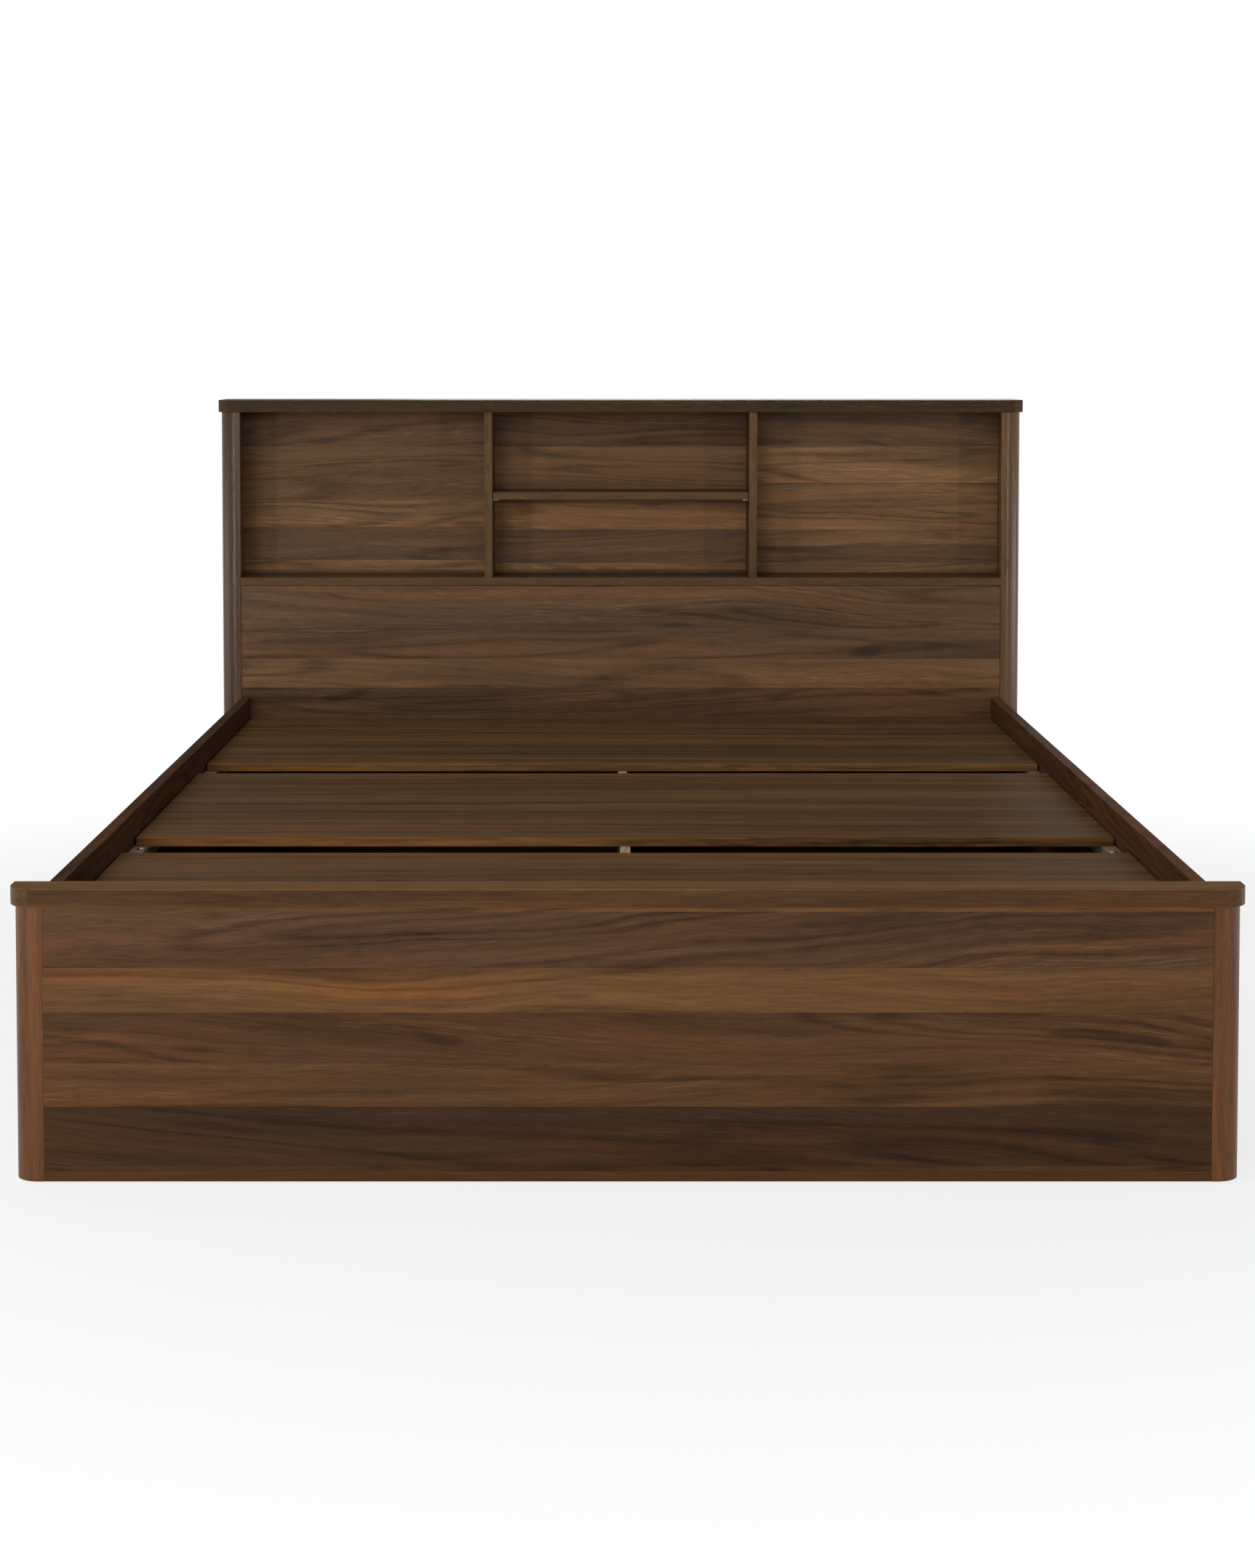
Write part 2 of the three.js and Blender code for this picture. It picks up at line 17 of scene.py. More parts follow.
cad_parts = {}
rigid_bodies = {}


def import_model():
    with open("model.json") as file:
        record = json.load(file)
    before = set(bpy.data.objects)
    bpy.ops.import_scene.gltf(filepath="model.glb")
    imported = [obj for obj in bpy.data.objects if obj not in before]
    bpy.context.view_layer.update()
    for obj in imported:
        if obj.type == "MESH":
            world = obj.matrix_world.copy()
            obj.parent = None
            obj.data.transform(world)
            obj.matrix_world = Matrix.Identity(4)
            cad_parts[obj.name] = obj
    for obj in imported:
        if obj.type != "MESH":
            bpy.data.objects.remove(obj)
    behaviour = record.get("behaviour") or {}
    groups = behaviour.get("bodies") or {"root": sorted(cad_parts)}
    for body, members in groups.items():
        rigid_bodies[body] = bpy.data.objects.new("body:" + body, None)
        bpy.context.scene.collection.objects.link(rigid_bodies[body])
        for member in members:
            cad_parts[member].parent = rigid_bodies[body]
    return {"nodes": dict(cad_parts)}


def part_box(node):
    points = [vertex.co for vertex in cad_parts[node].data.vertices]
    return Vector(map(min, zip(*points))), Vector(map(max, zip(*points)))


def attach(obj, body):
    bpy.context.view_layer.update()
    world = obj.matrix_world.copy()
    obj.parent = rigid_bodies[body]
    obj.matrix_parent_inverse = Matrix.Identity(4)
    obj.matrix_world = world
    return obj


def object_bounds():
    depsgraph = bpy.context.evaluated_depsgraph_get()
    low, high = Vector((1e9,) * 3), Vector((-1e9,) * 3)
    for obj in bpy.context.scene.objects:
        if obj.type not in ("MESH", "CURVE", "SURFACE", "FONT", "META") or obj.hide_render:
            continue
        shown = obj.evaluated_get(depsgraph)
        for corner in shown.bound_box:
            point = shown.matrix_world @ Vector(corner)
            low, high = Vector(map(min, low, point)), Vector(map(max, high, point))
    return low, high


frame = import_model()

# A plain start of Blender brings three objects of its own.
for spare in [item for item in bpy.data.objects if item.name in ("Cube", "Light", "Camera")]:
    bpy.data.objects.remove(spare)

CAD_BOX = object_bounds()

logging.basicConfig(level=logging.INFO, format="%(message)s")
log = logging.getLogger("bed")

Socket = bpy.types.NodeSocket
Feed = Socket | float | tuple[float, ...]
Colour = tuple[float, float, float, float]
Point = tuple[float, float, float]

WHITE: Colour = (1.0, 1.0, 1.0, 1.0)


class Tone(Enum):
    """Colours as they are written, 0 to 255 a channel."""

    SMOKE = (75, 52, 35)
    AMBER = (92, 63, 36)
    UMBER = (76, 51, 31)
    GOLD = (79, 53, 31)
    BARK = (55, 37, 23)
    RUST = (69, 44, 24)
    EDGE = (98, 69, 39)
    # The footboard cap's rim, darker than its top: painted shade.
    RIM = (70, 46, 25)
    OLIVE = (81, 61, 39)
    ASH = (104, 76, 50)
    WHEAT = (112, 82, 54)
    SAND = (98, 72, 48)
    SLATE = (78, 58, 41)
    CLAY = (90, 66, 44)
    DUSK = (66, 50, 36)
    COCOA = (72, 51, 34)
    PEAT = (58, 44, 28)
    DECK = (82, 61, 40)
    CASK = (86, 53, 27)
    # The next two tones are one post foil, darker for the left headboard post and lighter for the right one:
    # painted shade and painted light.
    SHADED_MOSS = (66, 44, 26)
    LIT_FAWN = (88, 61, 31)

    def linear(self, light: float = 1.0) -> Colour:
        """Gives the linear colour that a shader takes.

        Args:
            light: What the linear colour is multiplied by.

        Returns:
            Red, green, blue and a full alpha.
        """
        red, green, blue = (light * to_linear(part / 255) for part in self.value)
        return red, green, blue, 1.0


def to_linear(part: float) -> float:
    """Turns one written channel, 0 to 1, into its linear value."""
    return part / 12.92 if part <= 0.04045 else ((part + 0.055) / 1.055) ** 2.4


class Grain(Enum):
    """How a board's grain lies: the axes along the grain, through the board and across the grain."""

    PANEL = ("X", "Y", "Z")
    FLAT = ("X", "Z", "Y")
    UPRIGHT = ("Z", "Y", "X")
    SIDE = ("Z", "X", "Y")
    RAIL = ("Y", "X", "Z")


class Facing(Enum):
    """The axis that an edge band faces along; a rim faces along any level axis."""

    Y = 1
    Z = 2
    RIM = 3


class Graph:
    """Adds nodes to one node tree and joins them."""

    columns: int = 12
    spacing: tuple[int, int] = (180, 260)

    def __init__(self, tree: bpy.types.NodeTree) -> None:
        """Takes the tree that the nodes go into."""
        self.tree = tree
        self.count = 0

    def node(
        self, kind: str, feeds: dict[str | int, Feed] | None = None, **settings: object
    ) -> bpy.types.Node:
        """Adds a node.

        Args:
            kind: The node's type.
            feeds: What goes into its inputs, by name or number.
            **settings: Its own settings.

        Returns:
            The new node.
        """
        made = self.tree.nodes.new(kind)
        row, column = divmod(self.count, self.columns)
        made.location = (self.spacing[0] * column, -self.spacing[1] * row)
        self.count += 1
        for name, value in settings.items():
            setattr(made, name, value)
        for name, feed in (feeds or {}).items():
            self.feed(made.inputs[name], feed)
        return made

    def feed(self, socket: Socket, value: Feed) -> None:
        """Links a socket to another one, or sets its value."""
        if isinstance(value, bpy.types.NodeSocket):
            self.tree.links.new(value, socket)
        else:
            socket.default_value = value

    def math(self, operation: str, *feeds: Feed, clamp: bool = False) -> Socket:
        """Adds a Math node and gives its result."""
        inputs = dict(enumerate(feeds))
        return self.node("ShaderNodeMath", inputs, operation=operation, use_clamp=clamp).outputs[0]

    def vector(self, operation: str, *feeds: Feed) -> Socket:
        """Adds a Vector Math node and gives its vector."""
        return self.node("ShaderNodeVectorMath", dict(enumerate(feeds)), operation=operation).outputs[0]

    def scale(self, vector: Socket, factor: Feed) -> Socket:
        """Multiplies a vector or a colour by a number."""
        return self.node("ShaderNodeVectorMath", {0: vector, 3: factor}, operation="SCALE").outputs[0]

    def combine(self, x: Feed, y: Feed, z: Feed) -> Socket:
        """Joins three numbers into a vector."""
        return self.node("ShaderNodeCombineXYZ", {0: x, 1: y, 2: z}).outputs[0]

    def split(self, vector: Socket) -> tuple[Socket, Socket, Socket]:
        """Takes a vector apart into its three numbers."""
        made = self.node("ShaderNodeSeparateXYZ", {0: vector})
        return made.outputs[0], made.outputs[1], made.outputs[2]

    def noise(self, place: Socket, stretch: Point, detail: float = 1.0, roughness: float = 0.5) -> Socket:
        """Adds noise with its own number of waves to the metre along each axis.

        Args:
            place: Where on the board, in metres.
            stretch: Waves to the metre along each axis.
            detail: How many finer layers it has.
            roughness: How strong the finer layers are.

        Returns:
            A number round 0.5.
        """
        scaled = self.vector("MULTIPLY", place, stretch)
        feeds = {"Vector": scaled, "Scale": 1.0, "Detail": detail, "Roughness": roughness}
        return self.node("ShaderNodeTexNoise", feeds).outputs[0]

    def span(self, value: Feed, low: float, high: float, start: float = 0.0, end: float = 1.0) -> Socket:
        """Maps a number from one span to another, smoothly and clamped."""
        feeds = {0: value, 1: low, 2: high, 3: start, 4: end}
        return self.node("ShaderNodeMapRange", feeds, interpolation_type="SMOOTHSTEP").outputs[0]

    def mix(self, factor: Feed, first: Feed, second: Feed) -> Socket:
        """Mixes two colours and gives the result."""
        feeds = {0: factor, 6: first, 7: second}
        return self.node("ShaderNodeMix", feeds, data_type="RGBA").outputs[2]

    def swing(self, noise: Socket, amount: Feed) -> Socket:
        """Centres noise on nought and multiplies it."""
        return self.math("MULTIPLY", self.math("SUBTRACT", noise, 0.5), amount)


class Effect:
    """A shader node group, built once and placed in each material with its own values."""

    title = ""
    inputs: dict[str, tuple[str, Feed]] = {}
    outputs: dict[str, str] = {}

    def __init__(self) -> None:
        """Builds the group's sockets and nodes."""
        self.tree = bpy.data.node_groups.new(self.title, "ShaderNodeTree")
        for name, (kind, value) in self.inputs.items():
            socket = self.tree.interface.new_socket(name, in_out="INPUT", socket_type=kind)
            socket.default_value = value
        for name, kind in self.outputs.items():
            self.tree.interface.new_socket(name, in_out="OUTPUT", socket_type=kind)
        graph = Graph(self.tree)
        given = graph.node("NodeGroupInput").outputs
        results = self.build(graph, {name: given[name] for name in self.inputs})
        graph.node("NodeGroupOutput", results)

    def build(self, graph: Graph, given: dict[str, Socket]) -> dict[str, Feed]:
        """Adds the group's nodes.

        Args:
            graph: The group's own graph.
            given: Its inputs by name.

        Returns:
            What feeds each output, by name.
        """
        raise NotImplementedError

    def place(self, graph: Graph, feeds: dict[str, Feed]) -> dict[str, Socket]:
        """Places the group in a material.

        Args:
            graph: The material's graph.
            feeds: The group's values in this material.

        Returns:
            Its outputs by name.
        """
        made = graph.node("ShaderNodeGroup", node_tree=self.tree)
        for name, feed in feeds.items():
            graph.feed(made.inputs[name], feed)
        return {name: made.outputs[name] for name in self.outputs}


SURFACE = {"Color": "NodeSocketColor", "Roughness": "NodeSocketFloat", "Height": "NodeSocketFloat"}


class WalnutGrain(Effect):
    """Walnut print: fibres, streaks, warm, dark and pale patches, a wavy figure, knots and pores.

    Its noise has waves to the metre along the grain, through the board and across the grain.
    """

    title = "Walnut grain"
    inputs = {
        "Vector": ("NodeSocketVector", (0.0, 0.0, 0.0)),
        "Ground": ("NodeSocketColor", (0.06, 0.03, 0.02, 1.0)),
        "Seed": ("NodeSocketFloat", 0.0),
        "Fibre": ("NodeSocketFloat", 1.0),
        "Patch": ("NodeSocketFloat", 1.0),
        "Figure": ("NodeSocketFloat", 1.0),
        "Emboss": ("NodeSocketFloat", 0.0),
        "Roughness": ("NodeSocketFloat", 0.45),
    }
    outputs = SURFACE
    seed_shift: Point = (1.7, 0.9, 2.3)
    slope: float = 0.11
    sway_reach: float = 0.07
    ripple_reach: float = 0.014
    rings: float = 48.0
    warm_gain: Point = (1.2, 1.06, 0.94)
    dark_gain: Point = (0.72, 0.75, 0.79)
    pale_gain: Point = (1.34, 1.4, 1.46)
    knot_gain: Point = (0.55, 0.55, 0.6)

    def build(self, graph: Graph, given: dict[str, Socket]) -> dict[str, Feed]:
        """Adds the nodes; see Effect.build."""
        seed = given["Seed"]
        own_figure = given["Figure"]
        own_fibre = given["Fibre"]
        own_patch = given["Patch"]
        shift = graph.vector("MULTIPLY", graph.combine(seed, seed, seed), self.seed_shift)
        place = graph.vector("ADD", given["Vector"], shift)
        along = graph.split(given["Vector"])[0]
        turn = graph.swing(graph.math("FRACT", graph.math("MULTIPLY", seed, 5.3)), own_figure)
        slant = graph.math("MULTIPLY", graph.math("MULTIPLY", turn, self.slope), along)
        sway = graph.swing(graph.noise(place, (1.5, 3.0, 5.0)), self.sway_reach)
        ripple = graph.swing(graph.noise(place, (5.0, 12.0, 20.0)), self.ripple_reach)
        drift = graph.math("ADD", slant, graph.math("ADD", sway, ripple))
        bent = graph.vector("ADD", place, graph.combine(0.0, 0.0, drift))

        fibre = graph.noise(bent, (26.0, 260.0, 470.0), 2.0, 0.6)
        streak = graph.noise(bent, (2.4, 60.0, 90.0), 2.0)
        warmth = graph.noise(bent, (1.7, 10.0, 19.0), 2.0)
        shade = graph.noise(graph.vector("ADD", bent, (7.3, 1.1, 4.7)), (1.4, 9.0, 16.0), 2.0)
        bundle = graph.noise(graph.vector("ADD", bent, (3.9, 8.8, 2.6)), (1.5, 12.0, 30.0), 1.0)
        fleck = graph.noise(bent, (20.0, 260.0, 400.0), 1.0)
        pale = graph.math("MULTIPLY", graph.span(bundle, 0.5, 0.66), graph.span(fleck, 0.54, 0.68))
        pore = graph.span(graph.noise(bent, (44.0, 500.0, 720.0)), 0.58, 0.7)

        heart = graph.noise(bent, (1.3, 6.0, 21.0), 0.0)
        ring = graph.math("SINE", graph.math("MULTIPLY", heart, self.rings))
        ring = graph.math("POWER", graph.math("MULTIPLY_ADD", ring, 0.5, 0.5), 2.0)
        figure = graph.math("MULTIPLY", ring, graph.span(heart, 0.4, 0.56))
        eye = graph.noise(graph.vector("ADD", bent, (2.4, 6.1, 9.2)), (6.0, 18.0, 36.0), 0.0)
        knot = graph.math("MULTIPLY", graph.span(eye, 0.78, 0.85), own_figure, clamp=True)

        level = graph.math("ADD", 1.0, graph.swing(fibre, graph.math("MULTIPLY", own_fibre, 0.85)))
        level = graph.math("ADD", level, graph.swing(streak, graph.math("MULTIPLY", own_fibre, 0.95)))
        level = graph.math("MULTIPLY_ADD", figure, graph.math("MULTIPLY", own_figure, -0.34), level)
        level = graph.math("MULTIPLY_ADD", pore, graph.math("MULTIPLY", own_fibre, -0.12), level)
        body = graph.scale(given["Ground"], level)
        body = self.tint(graph, body, self.warm_gain, graph.span(warmth, 0.42, 0.68), own_patch)
        body = self.tint(graph, body, self.dark_gain, graph.span(shade, 0.48, 0.7), own_patch)
        body = self.tint(graph, body, self.pale_gain, pale, own_fibre)
        body = self.tint(graph, body, self.knot_gain, knot, 1.0)

        rough = graph.math("ADD", given["Roughness"], graph.swing(streak, 0.16))
        rough = graph.math("MULTIPLY_ADD", pore, 0.08, rough)
        grit = graph.swing(graph.noise(given["Vector"], (900.0, 900.0, 900.0)), given["Emboss"])
        height = graph.math("SUBTRACT", graph.swing(fibre, 0.6), pore)
        return {"Color": body, "Roughness": rough, "Height": graph.math("ADD", height, grit)}

    def tint(self, graph: Graph, body: Socket, gain: Point, mask: Socket, amount: Feed) -> Socket:
        """Multiplies a colour where a mask says.

        Args:
            graph: The group's own graph.
            body: The colour.
            gain: What it is multiplied by, a channel at a time.
            mask: Where it is multiplied, 0 to 1.
            amount: How much of the mask is used.

        Returns:
            The new colour.
        """
        weight = graph.math("MULTIPLY", mask, amount, clamp=True)
        return graph.mix(weight, body, graph.vector("MULTIPLY", body, gain))


class EasedEdge(Effect):
    """Marks eased edges, where the surface faces between two axes."""

    title = "Eased edge"
    inputs = {"Normal": ("NodeSocketVector", (0.0, 0.0, 1.0)), "Amount": ("NodeSocketFloat", 1.0)}
    outputs = {"Mask": "NodeSocketFloat"}
    flat: float = 0.985
    eased: float = 0.86

    def build(self, graph: Graph, given: dict[str, Socket]) -> dict[str, Feed]:
        """Adds the nodes; see Effect.build."""
        x, y, z = graph.split(graph.vector("ABSOLUTE", given["Normal"]))
        most = graph.math("MAXIMUM", x, graph.math("MAXIMUM", y, z))
        mask = graph.span(most, self.flat, self.eased)
        return {"Mask": graph.math("MULTIPLY", mask, given["Amount"], clamp=True)}


class PineGrain(Effect):
    """Planed softwood: early and late wood in lines along the grain, with fine fibres."""

    title = "Pine grain"
    inputs = {
        "Vector": ("NodeSocketVector", (0.0, 0.0, 0.0)),
        "Seed": ("NodeSocketFloat", 0.0),
        "Light": ("NodeSocketFloat", 1.0),
    }
    outputs = SURFACE
    lines: float = 70.0
    early_wood: Colour = (0.34, 0.245, 0.155, 1.0)
    late_wood: Colour = (0.24, 0.16, 0.09, 1.0)

    def build(self, graph: Graph, given: dict[str, Socket]) -> dict[str, Feed]:
        """Adds the nodes; see Effect.build."""
        seed = given["Seed"]
        place = graph.vector("ADD", given["Vector"], graph.combine(seed, seed, seed))
        warp = graph.noise(place, (1.6, 14.0, 14.0), 1.0)
        late = graph.span(graph.math("SINE", graph.math("MULTIPLY", warp, self.lines)), -0.2, 1.0)
        fine = graph.noise(place, (14.0, 600.0, 600.0), 2.0)
        ground = graph.mix(late, self.early_wood, self.late_wood)
        body = graph.scale(ground, graph.math("ADD", given["Light"], graph.swing(fine, 0.4)))
        rough = graph.math("ADD", 0.62, graph.swing(fine, 0.2))
        return {"Color": body, "Roughness": rough, "Height": graph.math("ADD", fine, late)}


class ZincSkin(Effect):
    """Bright zinc plating with a faint mottle and fine rolling marks."""

    title = "Zinc skin"
    inputs = {"Vector": ("NodeSocketVector", (0.0, 0.0, 0.0)), "Light": ("NodeSocketFloat", 1.0)}
    outputs = SURFACE
    dull: Colour = (0.52, 0.53, 0.55, 1.0)
    bright: Colour = (0.7, 0.7, 0.69, 1.0)

    def build(self, graph: Graph, given: dict[str, Socket]) -> dict[str, Feed]:
        """Adds the nodes; see Effect.build."""
        mottle = graph.noise(given["Vector"], (90.0, 90.0, 90.0), 3.0)
        marks = graph.noise(given["Vector"], (1400.0, 1400.0, 120.0), 1.0)
        body = graph.scale(graph.mix(graph.span(mottle, 0.35, 0.65), self.dull, self.bright), given["Light"])
        rough = graph.math("ADD", 0.32, graph.swing(mottle, 0.3))
        rough = graph.math("ADD", rough, graph.swing(marks, 0.15))
        return {"Color": body, "Roughness": rough, "Height": marks}


class MouldedSkin(Effect):
    """Moulded plastic with a fine pebbled skin."""

    title = "Moulded skin"
    inputs = {"Vector": ("NodeSocketVector", (0.0, 0.0, 0.0)), "Light": ("NodeSocketFloat", 1.0)}
    outputs = SURFACE
    clean: Colour = (0.012, 0.012, 0.012, 1.0)
    scuffed: Colour = (0.03, 0.029, 0.028, 1.0)

    def build(self, graph: Graph, given: dict[str, Socket]) -> dict[str, Feed]:
        """Adds the nodes; see Effect.build."""
        pebble = graph.noise(given["Vector"], (1500.0, 1500.0, 1500.0), 1.0)
        scuff = graph.noise(given["Vector"], (120.0, 120.0, 120.0), 2.0)
        body = graph.scale(graph.mix(graph.span(scuff, 0.4, 0.7), self.clean, self.scuffed), given["Light"])
        rough = graph.math("ADD", 0.58, graph.swing(scuff, 0.3))
        return {"Color": body, "Roughness": rough, "Height": pebble}


class Effects:
    """The shader node groups that the finishes share."""

    def __init__(self) -> None:
        """Builds each group once."""
        self.walnut = WalnutGrain()
        self.edge = EasedEdge()
        self.pine = PineGrain()
        self.zinc = ZincSkin()
        self.moulded = MouldedSkin()


EFFECTS = Effects()


def start_material(name: str) -> tuple[bpy.types.Material, Graph, bpy.types.Node]:
    """Starts a material with a Principled shader.

    Args:
        name: The material's name.

    Returns:
        The material, its graph and the shader.
    """
    made = bpy.data.materials.new(name)
    made.use_nodes = True
    made.node_tree.nodes.clear()
    graph = Graph(made.node_tree)
    shader = graph.node("ShaderNodeBsdfPrincipled")
    graph.node("ShaderNodeOutputMaterial", {"Surface": shader.outputs[0]})
    return made, graph, shader


def raise_surface(
    graph: Graph, shader: bpy.types.Node, height: Socket, strength: float, depth: float
) -> None:
    """Feeds a height to a shader's normal.

    Args:
        graph: The material's graph.
        shader: Its shader.
        height: The height that varies over the surface.
        strength: How strongly it shows.
        depth: The height's depth, in metres.
    """
    bump = graph.node("ShaderNodeBump", {"Height": height})
    bump.inputs["Strength"].default_value = strength
    bump.inputs["Distance"].default_value = depth
    graph.feed(shader.inputs["Normal"], bump.outputs[0])


@dataclass(frozen=True)
class Stave:
    """One printed stave, from its lower border up to the next one's."""

    start: float
    tone: Tone
    seed: float


def plain(tone: Tone, seed: float) -> tuple[Stave, ...]:
    """Gives the one stave of a print without joints."""
    return (Stave(0.0, tone, seed),)


@dataclass(frozen=True)
class Band:
    """The edge band on a board's narrow faces, or the footboard cap's rim in painted shade, and how much
    rougher it is than the rest.
    """

    facing: Facing
    tone: Tone
    rougher: float = 0.0


@dataclass(frozen=True)
class WalnutPrint:
    """Walnut-print laminate, in staves or plain, with its edge band.

    top is where the last stave ends. light multiplies every tone. Past each x in bays, and not on the
    back, the staves are read bay_shift further up, so that each bay has staves of its own.
    """

    name: str
    grain: Grain
    staves: tuple[Stave, ...]
    top: float = 1.0
    light: float = 1.0
    fibre: float = 1.0
    patch: float = 1.0
    figure: float = 1.0
    emboss: float = 0.0
    roughness: float = 0.45
    specular: float = 0.06
    # How much the eased edges are painted lighter: a painted highlight along the arrises.
    edge_highlight: float = 0.5
    spread: Point = (1.0, 1.0, 1.0)
    band: Band | None = None
    bays: tuple[float, ...] = ()
    bay_shift: float = 0.0
    # What the painted highlight on eased edges multiplies the colour by.
    highlight_gain: Point = (1.9, 1.8, 1.7)
    seed_range: float = 41.0
    bump: float = 0.25
    depth: float = 0.0003

    def ground(self, graph: Graph, across: Socket) -> tuple[Feed, Feed]:
        """Chooses the stave at a height.

        Args:
            graph: The material's graph.
            across: The distance across the grain.

        Returns:
            The stave's colour and its seed.
        """
        if len(self.staves) == 1:
            return self.staves[0].tone.linear(self.light), self.staves[0].seed
        low = self.staves[0].start
        factor = graph.node("ShaderNodeMapRange", {0: across, 1: low, 2: self.top}).outputs[0]
        made = graph.node("ShaderNodeValToRGB", {0: factor})
        ramp = made.color_ramp
        ramp.interpolation = "CONSTANT"
        while len(ramp.elements) < len(self.staves):
            ramp.elements.new(1.0)
        for element, stave in zip(ramp.elements, self.staves):
            element.position = (stave.start - low) / (self.top - low)
            red, green, blue, _ = stave.tone.linear(self.light)
            element.color = (red, green, blue, stave.seed)
        return made.outputs[0], graph.math("MULTIPLY", made.outputs[1], self.seed_range)

    def shift_bays(self, graph: Graph, across: Socket, x: Socket, facing: Socket) -> Socket:
        """Shifts the staves from bay to bay.

        Args:
            graph: The material's graph.
            across: The distance across the grain.
            x: The place along the board.
            facing: How far the surface faces the back.

        Returns:
            The distance across the grain at which the staves are read.
        """
        for border in self.bays:
            past = graph.math("GREATER_THAN", x, border)
            past = graph.math("MULTIPLY", past, graph.math("LESS_THAN", facing, 0.5))
            across = graph.math("MULTIPLY_ADD", past, self.bay_shift, across)
        return across

    def add_band(self, graph: Graph, ground: Feed, normal: Socket) -> tuple[Feed, Feed]:
        """Lays the edge band, or the footboard cap's painted shade, over the narrow faces.

        Args:
            graph: The material's graph.
            ground: The colour without the band.
            normal: The way the surface faces.

        Returns:
            The colour and the roughness.
        """
        if self.band is None:
            return ground, self.roughness
        sides = graph.split(graph.vector("ABSOLUTE", normal))
        if self.band.facing is Facing.RIM:
            banded = graph.math("LESS_THAN", sides[Facing.Z.value], 0.4)
        else:
            banded = graph.math("GREATER_THAN", sides[self.band.facing.value], 0.9)
        ground = graph.mix(banded, ground, self.band.tone.linear(self.light))
        if self.band.rougher == 0.0:
            return ground, self.roughness
        return ground, graph.math("MULTIPLY_ADD", banded, self.band.rougher, self.roughness)

    def material(self) -> bpy.types.Material:
        """Builds the material.

        Returns:
            The material, ready for a node's slot.
        """
        made, graph, shader = start_material(self.name)
        coordinates = graph.node("ShaderNodeTexCoord").outputs
        normal = coordinates["Normal"]
        axes = dict(zip("XYZ", graph.split(coordinates["Object"])))
        along, through, across = (axes[name] for name in self.grain.value)
        level = self.shift_bays(graph, across, axes["X"], graph.split(normal)[1])
        ground, seed = self.ground(graph, level)
        ground, rough = self.add_band(graph, ground, normal)
        feeds = {
            "Vector": graph.vector("MULTIPLY", graph.combine(along, through, level), self.spread),
            "Ground": ground,
            "Seed": seed,
            "Fibre": self.fibre,
            "Patch": self.patch,
            "Figure": self.figure,
            "Emboss": self.emboss,
            "Roughness": rough,
        }
        grain = EFFECTS.walnut.place(graph, feeds)
        # Eased edges are painted lighter here: a painted highlight standing in for the light that the
        # arrises catch.
        edge = EFFECTS.edge.place(graph, {"Normal": normal, "Amount": self.edge_highlight})
        highlighted = graph.vector("MULTIPLY", grain["Color"], self.highlight_gain)
        graph.feed(shader.inputs["Base Color"], graph.mix(edge["Mask"], grain["Color"], highlighted))
        graph.feed(shader.inputs["Roughness"], grain["Roughness"])
        shader.inputs["Specular IOR Level"].default_value = self.specular
        raise_surface(graph, shader, grain["Height"], self.bump, self.depth)
        return made


@dataclass(frozen=True)
class Pine:
    """Bare planed softwood."""

    name: str
    grain: Grain
    seed: float = 0.0
    light: float = 1.0
    specular: float = 0.15
    bump: float = 0.3
    depth: float = 0.0003

    def material(self) -> bpy.types.Material:
        """Builds the material.

        Returns:
            The material, ready for a node's slot.
        """
        made, graph, shader = start_material(self.name)
        coordinates = graph.node("ShaderNodeTexCoord")
        axes = dict(zip("XYZ", graph.split(coordinates.outputs["Object"])))
        place = graph.combine(*(axes[name] for name in self.grain.value))
        wood = EFFECTS.pine.place(graph, {"Vector": place, "Seed": self.seed, "Light": self.light})
        graph.feed(shader.inputs["Base Color"], wood["Color"])
        graph.feed(shader.inputs["Roughness"], wood["Roughness"])
        shader.inputs["Specular IOR Level"].default_value = self.specular
        raise_surface(graph, shader, wood["Height"], self.bump, self.depth)
        return made


@dataclass(frozen=True)
class Skin:
    """A metal or plastic skin, from one of the shared effects."""

    name: str
    effect: Effect
    metallic: float
    depth: float
    bump: float = 0.2
    light: float = 1.0

    def material(self) -> bpy.types.Material:
        """Builds the material.

        Returns:
            The material, ready for a node's slot.
        """
        made, graph, shader = start_material(self.name)
        place = graph.node("ShaderNodeTexCoord").outputs["Object"]
        skin = self.effect.place(graph, {"Vector": place, "Light": self.light})
        graph.feed(shader.inputs["Base Color"], skin["Color"])
        graph.feed(shader.inputs["Roughness"], skin["Roughness"])
        shader.inputs["Metallic"].default_value = self.metallic
        raise_surface(graph, shader, skin["Height"], self.bump, self.depth)
        return made


Finish = WalnutPrint | Pine | Skin


